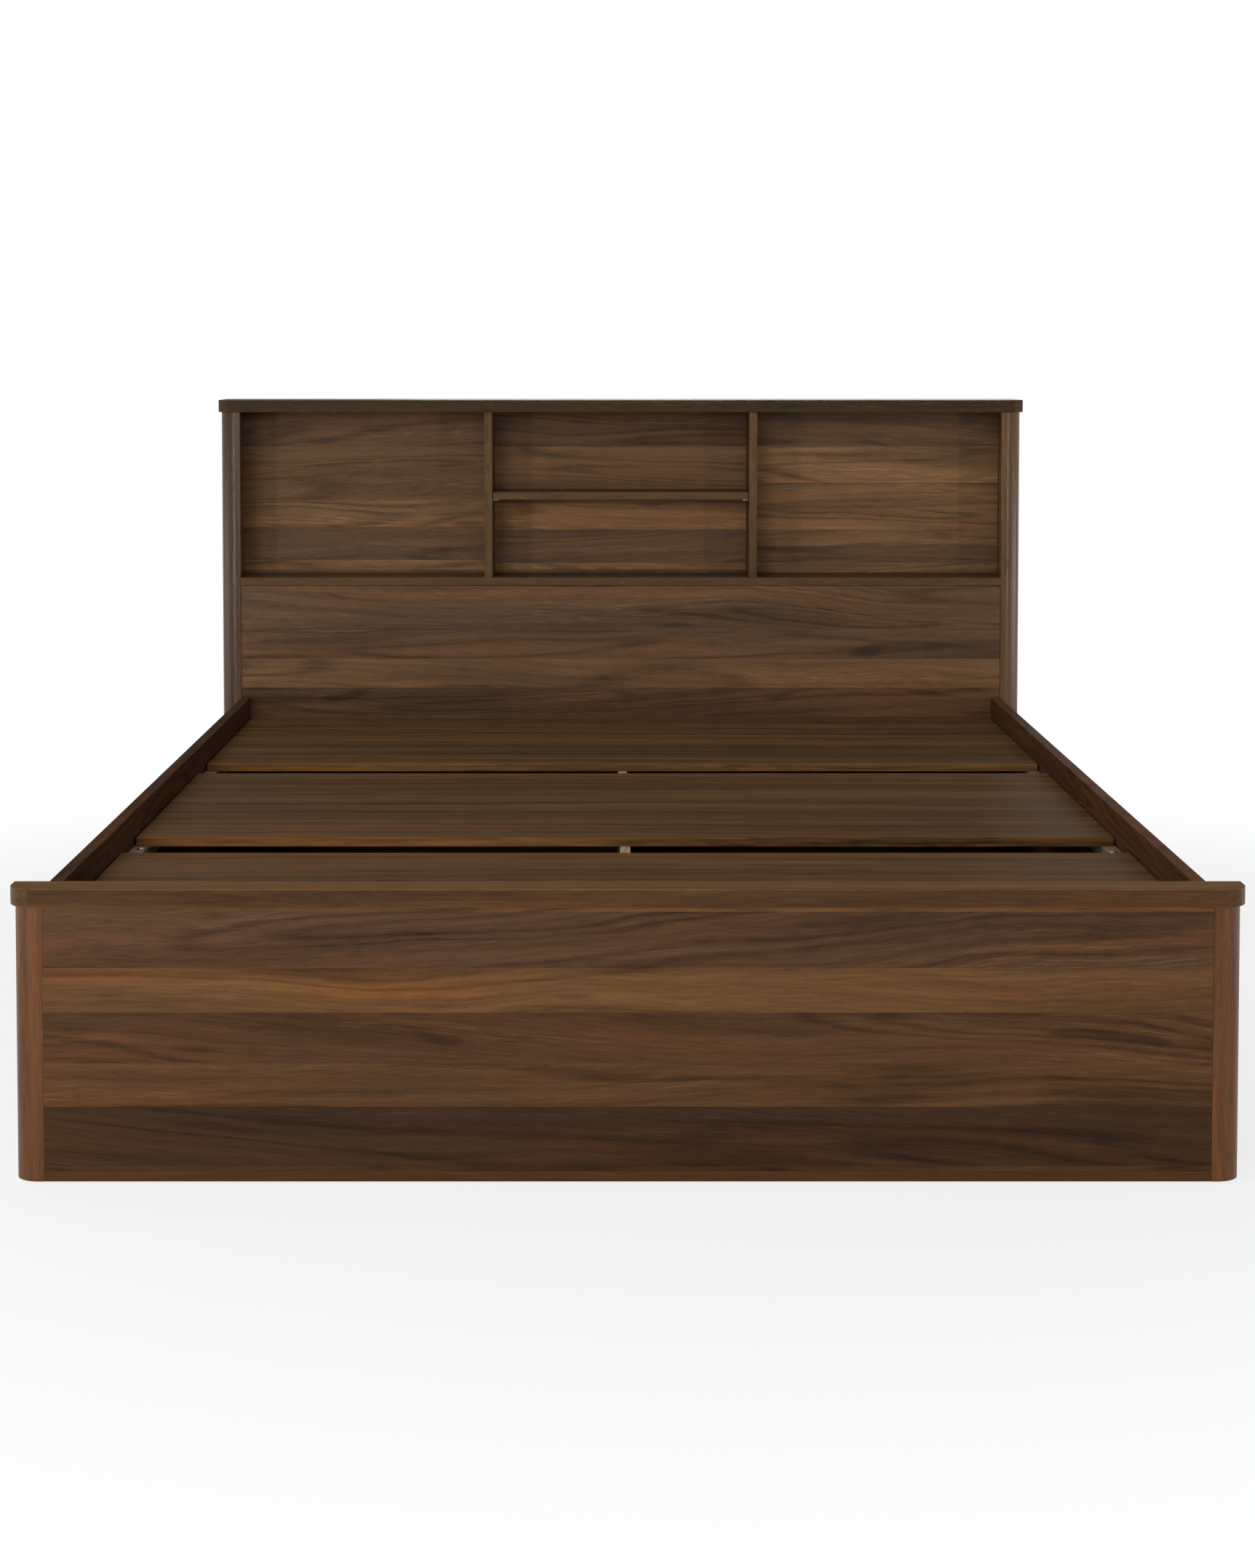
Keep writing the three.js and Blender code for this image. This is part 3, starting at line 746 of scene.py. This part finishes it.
class Workshop:
    """Dresses the model's nodes and makes new pieces, with one material for each finish."""

    weld: float = 0.00001
    smooth_angle: float = math.radians(32)
    ease_angle: float = math.radians(40)
    ease_segments: int = 2
    face_weight: int = 100

    def __init__(self) -> None:
        """Starts with no materials, and builds the smoothing that the nodes share."""
        self.materials: dict[str, bpy.types.Material] = {}
        self.smoothing = self.build_smoothing()

    def build_smoothing(self) -> bpy.types.NodeTree:
        """Builds the node group that joins a node's facets and smooths all but its sharp edges.

        Returns:
            The geometry node group.
        """
        tree = bpy.data.node_groups.new("Smooth facets", "GeometryNodeTree")
        tree.interface.new_socket("Geometry", in_out="INPUT", socket_type="NodeSocketGeometry")
        tree.interface.new_socket("Geometry", in_out="OUTPUT", socket_type="NodeSocketGeometry")
        graph = Graph(tree)
        given = graph.node("NodeGroupInput").outputs[0]
        joined = graph.node("GeometryNodeMergeByDistance", {"Geometry": given, "Distance": self.weld})
        feeds = {"Geometry": joined.outputs[0], "Name": "custom_normal"}
        bare = graph.node("GeometryNodeRemoveAttribute", feeds)
        angle = graph.node("GeometryNodeInputMeshEdgeAngle").outputs[0]
        gentle = graph.math("LESS_THAN", angle, self.smooth_angle)
        feeds = {"Geometry": bare.outputs[0], "Shade Smooth": True}
        faces = graph.node("GeometryNodeSetShadeSmooth", feeds, domain="FACE")
        feeds = {"Geometry": faces.outputs[0], "Shade Smooth": gentle}
        edges = graph.node("GeometryNodeSetShadeSmooth", feeds, domain="EDGE")
        graph.node("NodeGroupOutput", {0: edges.outputs[0]})
        return tree

    def finish(self, finish: Finish) -> bpy.types.Material:
        """Gives a finish's material, built the first time it is asked for."""
        if finish.name not in self.materials:
            self.materials[finish.name] = finish.material()
        return self.materials[finish.name]

    def dress(self, node: str, finish: Finish, ease: float = 0.0) -> None:
        """Dresses one of the model's nodes.

        Args:
            node: The node's name.
            finish: What it is finished in.
            ease: How wide its edges are eased, in metres.
        """
        thing = frame["nodes"][node]
        material = self.finish(finish)
        for place in thing.material_slots:
            place.material = material
        thing.modifiers.new("Smooth facets", "NODES").node_group = self.smoothing
        if ease > 0:
            bevel = thing.modifiers.new("Eased edges", "BEVEL")
            bevel.width = ease
            bevel.segments = self.ease_segments
            bevel.limit_method = "ANGLE"
            bevel.angle_limit = self.ease_angle
            bevel.use_clamp_overlap = False
        weighted = thing.modifiers.new("Face normals", "WEIGHTED_NORMAL")
        weighted.keep_sharp = True
        weighted.weight = self.face_weight
        log.info("%s: %s", node, finish.name)

    def piece(self, name: str, mesh: bpy.types.Mesh, finish: Finish, slot: str, body: str) -> None:
        """Adds a new piece that rides on a body.

        Args:
            name: The piece's name.
            mesh: Its mesh, in place.
            finish: What it is finished in.
            slot: The record's material slot for it; not used.
            body: The body that carries it.
        """
        thing = bpy.data.objects.new(name, mesh)
        bpy.context.scene.collection.objects.link(thing)
        mesh.materials.append(self.finish(finish))
        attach(thing, body)
        log.info("%s: %s, on %s", name, finish.name, body)


ZINC = Skin("Zinc", EFFECTS.zinc, metallic=1.0, depth=0.00002)
# The same zinc at 0.3 of its light, for the ledge screws: painted shade, for the shade deep in the gaps.
SHADED_ZINC = replace(ZINC, name="Zinc in painted shade", light=0.3)
GLIDE = Skin("Glide plastic", EFFECTS.moulded, metallic=0.0, depth=0.00005)

POST = WalnutPrint(
    "Post foil",
    Grain.UPRIGHT,
    plain(Tone.CASK, 3.1),
    fibre=1.1,
    patch=0.5,
    figure=0.3,
    emboss=0.9,
    roughness=0.36,
    specular=0.15,
    edge_highlight=0.0,
)

HEAD_POST = replace(POST, roughness=0.22, specular=0.18)

# The two headboard posts share one foil, printed darker on the left post and lighter on the right: painted
# shade and painted light.
HEAD_POSTS = {
    "left": replace(HEAD_POST, name="Left headboard post foil", staves=plain(Tone.SHADED_MOSS, 5.7)),
    "right": replace(HEAD_POST, name="Right headboard post foil", staves=plain(Tone.LIT_FAWN, 5.7)),
}


@dataclass
class Screw:
    """A domed screw head with a cross recess, closed underneath.

    dome holds the head's rings from its rim to its middle, as shares of its radius and height.
    """

    radius: float = 0.004
    height: float = 0.0022
    around: int = 32
    recess: float = 0.0022
    recess_depth: float = 0.0011
    recess_arm: float = 0.22
    dome: tuple[tuple[float, float], ...] = (
        (1.0, 0.0),
        (1.0, 0.3),
        (0.93, 0.58),
        (0.78, 0.8),
        (0.62, 0.91),
        (0.52, 0.95),
        (0.42, 1.0),
        (0.33, 1.0),
        (0.24, 1.0),
        (0.15, 1.0),
    )

    def point(self, out: float, up: float, step: int) -> Vector:
        """Gives a point of the dome, sunk where the recess is.

        Args:
            out: Its ring's share of the radius.
            up: Its ring's share of the height.
            step: Its number round the ring.

        Returns:
            The point, for a head at the origin that faces up.
        """
        angle = 2 * math.pi * step / self.around
        far = out * self.radius
        x = far * math.cos(angle)
        y = far * math.sin(angle)
        sunk = far < self.recess and min(abs(x), abs(y)) < self.recess_arm * self.recess
        return Vector((x, y, up * self.height - (self.recess_depth if sunk else 0.0)))

    def mesh(self, name: str, place: Point, facing: Point) -> bpy.types.Mesh:
        """Builds the head.

        Args:
            name: The mesh's name.
            place: The middle of its underside, in metres.
            facing: The way it faces.

        Returns:
            The mesh, in place.
        """
        turn = Vector((0, 0, 1)).rotation_difference(Vector(facing)).to_matrix().to_4x4()
        where = Matrix.Translation(Vector(place)) @ turn
        made = bmesh.new()
        steps = range(self.around)
        rings = [
            [made.verts.new(where @ self.point(out, up, step)) for step in steps] for out, up in self.dome
        ]
        for lower, upper in zip(rings, rings[1:]):
            for step in steps:
                after = (step + 1) % self.around
                made.faces.new((lower[step], lower[after], upper[after], upper[step]))
        made.faces.new(rings[-1])
        foot = made.verts.new(where @ Vector((0, 0, 0)))
        for step in steps:
            after = (step + 1) % self.around
            made.faces.new((rings[0][after], rings[0][step], foot))
        for face in made.faces:
            face.smooth = True
        mesh = bpy.data.meshes.new(name)
        made.to_mesh(mesh)
        made.free()
        return mesh


@dataclass
class Footboard:
    """The footboard: cap, posts, front and inner panel, bottom rail, stiles and glides."""

    workshop: Workshop
    ease: float = 0.0006
    panel_ease: float = 0.0002
    top: float = 0.376
    staves: tuple[Stave, ...] = (
        Stave(0.0, Tone.RUST, 0.11),
        Stave(0.0235, Tone.BARK, 0.23),
        Stave(0.103, Tone.GOLD, 0.37),
        Stave(0.163, Tone.UMBER, 0.52),
        Stave(0.232, Tone.AMBER, 0.66),
        Stave(0.292, Tone.SMOKE, 0.81),
        Stave(0.368, Tone.AMBER, 0.94),
    )

    def dress(self) -> None:
        """Dresses every node of the footboard."""
        cap = WalnutPrint(
            "Footboard cap",
            Grain.FLAT,
            plain(Tone.EDGE, 5.3),
            fibre=1.1,
            patch=0.6,
            figure=0.2,
            roughness=0.85,
            specular=0.08,
            edge_highlight=0.2,
            spread=(0.7, 1.0, 0.8),
            # The rim is printed darker than the top: painted shade, for the top catching more light from
            # above. The rim is also glossier.
            band=Band(Facing.RIM, Tone.RIM, rougher=-0.53),
        )
        panel = WalnutPrint("Footboard print", Grain.PANEL, self.staves, top=self.top)
        rail = WalnutPrint("Footboard rail", Grain.PANEL, plain(Tone.RUST, 8.2), patch=0.5, figure=0.2)
        self.workshop.dress("footboard_cap", cap)
        self.workshop.dress("footboard_panel", panel, self.panel_ease)
        self.workshop.dress("footboard_inner_panel", panel, self.ease)
        self.workshop.dress("footboard_bottom_rail", rail, self.ease)
        for side in ("left", "right"):
            self.workshop.dress(f"footboard_post_{side}", POST)
            self.workshop.dress(f"glide_foot_{side}", GLIDE)
        stile = Pine("Footboard stile", Grain.UPRIGHT, seed=2.0)
        for place in ("left", "centre", "right"):
            self.workshop.dress(f"footboard_stile_{place}", stile, self.ease)


@dataclass
class Headboard:
    """The headboard: a case of three open bays on a closed lower part, under a cap.

    The back panel's staves run on from one bay to the next, bay_shift further up each time.
    """

    workshop: Workshop
    ease: float = 0.0006
    bay_borders: tuple[float, float] = (-0.273, 0.273)
    bay_shift: float = 0.4
    panel_top: float = 0.64
    panel_light: float = 1.25
    panel_staves: tuple[Stave, ...] = (
        Stave(0.0, Tone.SLATE, 0.09),
        Stave(0.12, Tone.CLAY, 0.31),
        Stave(0.2, Tone.SLATE, 0.62),
        Stave(0.29, Tone.COCOA, 0.44),
        Stave(0.36, Tone.COCOA, 0.18),
        Stave(0.42, Tone.CLAY, 0.57),
        Stave(0.48, Tone.SLATE, 0.71),
        Stave(0.54, Tone.SLATE, 0.86),
    )
    back_top: float = 1.8
    back_light: float = 1.28
    bay_staves: tuple[Stave, ...] = (
        Stave(0.0, Tone.SLATE, 0.05),
        Stave(0.11, Tone.CLAY, 0.29),
        Stave(0.19, Tone.COCOA, 0.47),
        Stave(0.27, Tone.SLATE, 0.08),
        Stave(0.36, Tone.DUSK, 0.36),
        Stave(0.43, Tone.SAND, 0.79),
        Stave(0.52, Tone.SLATE, 0.17),
        Stave(0.648, Tone.ASH, 0.12),
        Stave(0.668, Tone.SLATE, 0.26),
        Stave(0.739, Tone.ASH, 0.33),
        Stave(0.795, Tone.CLAY, 0.41),
        Stave(0.867, Tone.CLAY, 0.55),
        # From here up, the left bay's back panel is darker: print and painted shade under the cap.
        Stave(0.914, Tone.SLATE, 0.6),
        Stave(1.048, Tone.ASH, 0.62),
        Stave(1.068, Tone.SLATE, 0.64),
        Stave(1.139, Tone.ASH, 0.69),
        Stave(1.195, Tone.CLAY, 0.74),
        # From here up, the middle bay's back panel is darker: print and painted shade under the cap.
        Stave(1.314, Tone.COCOA, 0.78),
        Stave(1.448, Tone.CLAY, 0.82),
        Stave(1.468, Tone.SLATE, 0.85),
        Stave(1.502, Tone.SAND, 0.88),
        Stave(1.539, Tone.ASH, 0.91),
        Stave(1.579, Tone.ASH, 0.93),
        Stave(1.632, Tone.WHEAT, 0.96),
        # From here up, the right bay's back panel is darker: print and painted shade under the cap.
        Stave(1.714, Tone.SLATE, 0.98),
    )

    def dress(self) -> None:
        """Dresses every node of the headboard."""
        cap = WalnutPrint(
            "Headboard cap",
            Grain.FLAT,
            plain(Tone.PEAT, 1.3),
            patch=0.3,
            figure=0.1,
            roughness=0.5,
            specular=0.04,
        )
        shelf = WalnutPrint(
            "Shelf print",
            Grain.FLAT,
            plain(Tone.COCOA, 6.4),
            fibre=0.8,
            patch=0.5,
            figure=0.3,
            band=Band(Facing.Y, Tone.OLIVE),
        )
        divider = replace(shelf, name="Divider print", grain=Grain.SIDE)
        panel = WalnutPrint(
            "Headboard print",
            Grain.PANEL,
            self.panel_staves,
            top=self.panel_top,
            light=self.panel_light,
        )
        back = WalnutPrint(
            "Back panel print",
            Grain.PANEL,
            self.bay_staves,
            top=self.back_top,
            light=self.back_light,
            bays=self.bay_borders,
            bay_shift=self.bay_shift,
        )
        self.workshop.dress("headboard_cap", cap)
        self.workshop.dress("headboard_front_panel", panel, self.ease)
        self.workshop.dress("headboard_back_panel", back, self.ease)
        for node in ("headboard_main_shelf", "middle_shelf"):
            self.workshop.dress(node, shelf, self.ease)
        stile = Pine("Headboard stile", Grain.UPRIGHT, seed=4.0)
        for side in ("left", "right"):
            self.workshop.dress(f"headboard_post_{side}", HEAD_POSTS[side])
            self.workshop.dress(f"headboard_stile_{side}", stile, self.ease)
            for part in ("side", "divider", "upright"):
                self.workshop.dress(f"headboard_{part}_{side}", divider, self.ease)
            for row in ("front", "back"):
                self.workshop.dress(f"shelf_pin_{side}_{row}", ZINC)
                self.workshop.dress(f"glide_head_{row}_{side}", GLIDE)


@dataclass
class Base:
    """The base: rails, ledges, centre board, loose boards, steel angles, bolts and screws."""

    workshop: Workshop
    ease: float = 0.0006
    board_ease: float = 0.001
    rail_top: float = 0.4
    rail_staves: tuple[Stave, ...] = (
        Stave(0.0, Tone.SMOKE, 0.14),
        Stave(0.07, Tone.UMBER, 0.36),
        Stave(0.14, Tone.BARK, 0.58),
        Stave(0.21, Tone.SMOKE, 0.73),
        Stave(0.29, Tone.UMBER, 0.87),
        Stave(0.35, Tone.SMOKE, 0.95),
    )
    ledge_screw: Screw = field(default_factory=lambda: Screw(radius=0.006, height=0.0026, recess=0.0028))
    ledge_places: tuple[tuple[str, float, float], ...] = (("left", -0.751, -0.505), ("right", 0.751, -0.537))
    angle_screw: Screw = field(default_factory=Screw)
    angle_thick: float = 0.002
    angle_hole: float = 0.018
    angle_heights: tuple[float, float] = (0.16, 0.22)

    def dress(self) -> None:
        """Dresses every node of the base."""
        rail = WalnutPrint(
            "Rail print",
            Grain.RAIL,
            self.rail_staves,
            top=self.rail_top,
            roughness=0.7,
            specular=0.01,
            band=Band(Facing.Z, Tone.UMBER),
        )
        # One rail print, darker on the left rail, and lighter with a lighter top band on the right: painted
        # shade and painted light, for light from the left falling on the right rail's inner face.
        rails = {
            "left": replace(rail, name="Left rail print in painted shade", light=0.84),
            "right": replace(rail, name="Right rail print in painted light", light=1.05, band=Band(Facing.Z, Tone.GOLD)),
        }
        deck = WalnutPrint(
            "Platform print",
            Grain.FLAT,
            plain(Tone.DECK, 2.7),
            fibre=1.9,
            figure=0.0,
            light=1.01,
            roughness=0.75,
            specular=0.03,
            # The boards' eased edges are painted light: a painted highlight along their front edges.
            edge_highlight=0.9,
            spread=(0.3, 0.6, 0.5),
            band=Band(Facing.Y, Tone.EDGE),
        )
        # The ledges are the same pine as the centre board at half its light: painted shade, for the shade in
        # the gaps under the boards.
        shaded_ledge = Pine("Ledge in painted shade", Grain.RAIL, seed=1.0, light=0.5)
        centre = Pine("Centre board", Grain.RAIL, seed=7.0)
        for side in ("left", "right"):
            self.workshop.dress(f"side_rail_{side}", rails[side], self.ease)
            self.workshop.dress(f"ledge_{side}", shaded_ledge, self.ease)
        self.workshop.dress("centre_board", centre, self.ease)
        for place in ("foot", "middle", "head"):
            self.workshop.dress(f"base_board_{place}", deck, self.board_ease)
        for end in ("foot", "head"):
            self.workshop.dress(f"centre_bracket_{end}", ZINC)
            self.workshop.dress(f"glide_centre_{end}", GLIDE)
            for side in ("left", "right"):
                for part in ("corner_bracket", "rail_bolt", "board_bolt"):
                    self.workshop.dress(f"{part}_{end}_{side}", ZINC)

    def build(self) -> None:
        """Adds the screws on the ledges and on the centre board's angles."""
        for side, x, y in self.ledge_places:
            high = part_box(f"ledge_{side}")[1].z
            mesh = self.ledge_screw.mesh(f"ledge_screw_{side}", (x, y, high), (0, 0, 1))
            self.workshop.piece(f"ledge_screw_{side}", mesh, SHADED_ZINC, "zinc_steel", "frame")
        for end, inward in (("foot", 1.0), ("head", -1.0)):
            low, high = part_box(f"centre_bracket_{end}")
            wall = low.y if inward > 0 else high.y
            for index, height in enumerate(self.angle_heights):
                across = (low.x + self.angle_thick, wall + inward * self.angle_hole, height)
                endwise = (low.x + self.angle_hole, wall + inward * self.angle_thick, height)
                for leg, place, facing in (("side", across, (1, 0, 0)), ("end", endwise, (0, inward, 0))):
                    name = f"centre_screw_{end}_{leg}_{index}"
                    mesh = self.angle_screw.mesh(name, place, facing)
                    self.workshop.piece(name, mesh, ZINC, "zinc_steel", "frame")


@dataclass(frozen=True)
class Lamp:
    """A soft area lamp: its width and height in metres, its power in watts, its place and its target."""

    name: str
    size: tuple[float, float]
    power: float
    place: Point
    target: Point

    def add(self) -> None:
        """Adds the lamp to the scene."""
        data = bpy.data.lights.new(self.name, "AREA")
        data.shape = "RECTANGLE"
        data.size, data.size_y = self.size
        data.energy = self.power
        lamp = bpy.data.objects.new(self.name, data)
        bpy.context.scene.collection.objects.link(lamp)
        lamp.location = self.place
        aim = Vector(self.target) - Vector(self.place)
        lamp.rotation_euler = aim.to_track_quat("-Z", "Y").to_euler()
        log.info("%s lamp: %g W", self.name, self.power)


@dataclass
class Studio:
    """A pale floor, a white surrounding, soft lamps and the camera.

    From clear_from to clear_to metres out the floor clears from clear_near to full white. It stays dark
    under the bed, up to dark_inset inside the bed's box. air is how strongly the surrounding lights the
    bed. Two lamps are in front, a strip near each side of the foot end, one above, and three behind and
    beside.
    """

    floor_size: float = 30.0
    floor_tone: float = 0.8
    floor_roughness: float = 0.8
    floor_specular: float = 0.1
    clear_near: float = 0.78
    clear_from: float = 1.3
    clear_to: float = 2.6
    dark_inset: tuple[float, float] = (0.055, 0.03)
    air: float = 0.26
    lamps: tuple[Lamp, ...] = (
        Lamp("key", (2.4, 2.4), 280.0, (-2.2, -9.0, 2.6), (0.0, 0.0, 0.5)),
        Lamp("front", (3.0, 1.6), 118.0, (0.7, -9.0, 2.0), (0.0, 0.0, 0.6)),
        Lamp("left", (0.25, 1.0), 25.0, (-2.4, -2.7, 0.52), (-0.4, 0.0, 0.52)),
        Lamp("right", (0.2, 1.0), 30.0, (3.3, -3.7, 0.52), (0.6, 0.0, 0.52)),
        Lamp("top", (3.0, 3.0), 55.0, (-1.5, -0.6, 4.1), (0.0, 0.0, 0.0)),
        Lamp("back", (3.0, 1.2), 110.0, (0.6, 7.0, 1.6), (0.0, 1.1, 0.5)),
        Lamp("left side", (3.0, 0.5), 19.0, (-4.5, 0.3, 0.3), (-0.8, 0.3, 0.3)),
        Lamp("right side", (3.0, 0.5), 32.0, (4.5, 0.3, 0.3), (0.8, 0.3, 0.3)),
    )
    sensor: float = 36.0
    lens: float = 64.23
    shift: tuple[float, float] = (0.0128, -0.1846)
    eye: Point = (-0.0274, -4.8092, 1.1224)
    pitch: float = 3.0
    far_clip: float = 100.0

    def outside_rays(self, graph: Graph) -> Socket:
        """Gives 1 for rays that should see the white surrounding, and 0 for the rest."""
        path = graph.node("ShaderNodeLightPath")
        seen = graph.math("MAXIMUM", path.outputs["Is Camera Ray"], path.outputs["Is Glossy Ray"])
        return graph.math("MAXIMUM", seen, path.outputs["Is Transmission Ray"])

    def build_world(self) -> None:
        """Adds a white surrounding that lights the object only softly."""
        world = bpy.data.worlds.new("Studio")
        bpy.context.scene.world = world
        world.use_nodes = True
        world.node_tree.nodes.clear()
        graph = Graph(world.node_tree)
        strength = graph.math("MULTIPLY_ADD", self.outside_rays(graph), 1.0 - self.air, self.air)
        back = graph.node("ShaderNodeBackground", {"Color": WHITE, "Strength": strength})
        graph.node("ShaderNodeOutputWorld", {"Surface": back.outputs[0]})

    def build_floor(self) -> None:
        """Adds a pale floor that keeps the bed's shadow and clears to white further out."""
        half = self.floor_size / 2
        mesh = bpy.data.meshes.new("floor")
        corners = [(-half, -half, 0), (half, -half, 0), (half, half, 0), (-half, half, 0)]
        mesh.from_pydata(corners, [], [(0, 1, 2, 3)])
        floor = bpy.data.objects.new("floor", mesh)
        bpy.context.scene.collection.objects.link(floor)
        made = bpy.data.materials.new("Floor")
        made.use_nodes = True
        made.node_tree.nodes.clear()
        graph = Graph(made.node_tree)
        pale = graph.node("ShaderNodeBsdfPrincipled", {"Roughness": self.floor_roughness})
        pale.inputs["Base Color"].default_value = (self.floor_tone, self.floor_tone, self.floor_tone, 1.0)
        pale.inputs["Specular IOR Level"].default_value = self.floor_specular
        white = graph.node("ShaderNodeEmission", {"Color": WHITE, "Strength": 1.0})
        place = graph.node("ShaderNodeTexCoord").outputs["Object"]
        far = graph.node("ShaderNodeVectorMath", {0: place}, operation="LENGTH").outputs["Value"]
        reach = graph.span(far, self.clear_from, self.clear_to, self.clear_near, 1.0)
        x, y, _ = graph.split(graph.vector("ABSOLUTE", place))
        beside = graph.math("GREATER_THAN", x, CAD_BOX[1].x - self.dark_inset[0])
        beyond = graph.math("GREATER_THAN", y, CAD_BOX[1].y - self.dark_inset[1])
        reach = graph.math("MULTIPLY", reach, graph.math("MAXIMUM", beside, beyond))
        clear = graph.math("MULTIPLY", reach, self.outside_rays(graph))
        mixed = graph.node("ShaderNodeMixShader", {0: clear, 1: pale.outputs[0], 2: white.outputs[0]})
        graph.node("ShaderNodeOutputMaterial", {"Surface": mixed.outputs[0]})
        mesh.materials.append(made)
        log.info("floor: pale, %g m wide", self.floor_size)

    def build_camera(self) -> None:
        """Adds the camera, from the foot end and slightly from above."""
        data = bpy.data.cameras.new("camera")
        data.sensor_width = self.sensor
        data.lens = self.lens
        data.shift_x, data.shift_y = self.shift
        data.clip_end = self.far_clip
        camera = bpy.data.objects.new("camera", data)
        bpy.context.scene.collection.objects.link(camera)
        camera.location = self.eye
        camera.rotation_euler = (math.radians(90.0 - self.pitch), 0.0, 0.0)
        bpy.context.scene.camera = camera

    def build(self) -> None:
        """Builds the whole studio."""
        self.build_world()
        self.build_floor()
        for lamp in self.lamps:
            lamp.add()
        self.build_camera()


def main() -> None:
    """Dresses the bed, adds its screws and sets the studio."""
    scene = bpy.context.scene
    scene.view_settings.view_transform = "Standard"
    workshop = Workshop()
    studio = Studio()
    footboard = Footboard(workshop)
    headboard = Headboard(workshop)
    base = Base(workshop)
    studio.build()
    footboard.dress()
    headboard.dress()
    base.dress()
    base.build()


if __name__ == "__main__":
    main()
